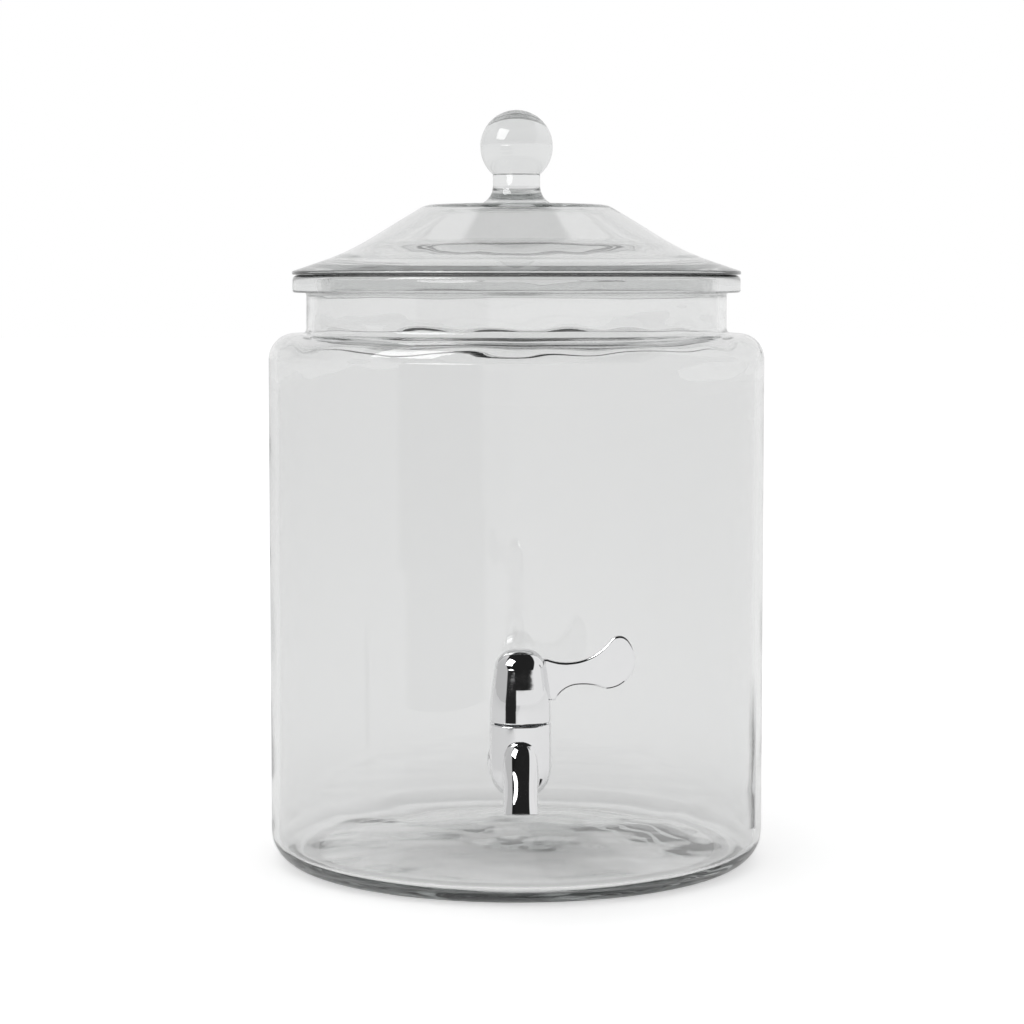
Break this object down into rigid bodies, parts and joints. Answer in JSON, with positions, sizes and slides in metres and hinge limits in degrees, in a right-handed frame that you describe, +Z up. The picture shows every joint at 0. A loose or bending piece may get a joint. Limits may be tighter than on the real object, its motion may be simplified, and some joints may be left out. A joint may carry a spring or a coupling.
{
  "type": "drink dispenser",
  "caption": "Straight glass jar with a round shoulder, a loose glass lid with a ball knob, and a chrome quarter-turn tap low on the front for serving drinks.",
  "frame": {"origin": "middle of the jar's foot, on the plane it stands on, on the jar's own axis", "axes": "+Z up along the jar, -Y towards the tap at the front, +X to the lever's closed side"},
  "size_m": [0.236, 0.2874, 0.3581],
  "materials": {
    "glass": "clear, fire polished",
    "chrome": "mirror polished plating",
    "silicone": "translucent, satin",
    "nitrile": "matt",
    "acetal": "moulded, smooth",
    "steel": "turned and brushed"
  },
  "bodies": {
    "jar": {"glass_jar": "glass", "spigot_body": "chrome", "bonnet_ring": "acetal", "outer_washer": "silicone", "inner_washer": "silicone", "clamp_washer": "steel", "lock_nut": "steel"},
    "lid": {"glass_lid": "glass"},
    "handle": {"handle_cap": "chrome", "valve_plug": "acetal", "upper_o_ring": "nitrile", "lower_o_ring": "nitrile"}
  },
  "joints": [
    {"name": "lid_lift", "type": "slide", "parent": "jar", "child": "lid", "axis": [0, 0, 1], "range_m": [0, 0.12]},
    {"name": "handle_turn", "type": "hinge", "parent": "jar", "child": "handle", "pos_m": [0, -0.146, 0.0889], "axis": [0, 0, 1], "range_deg": [-90, 0]}
  ]
}
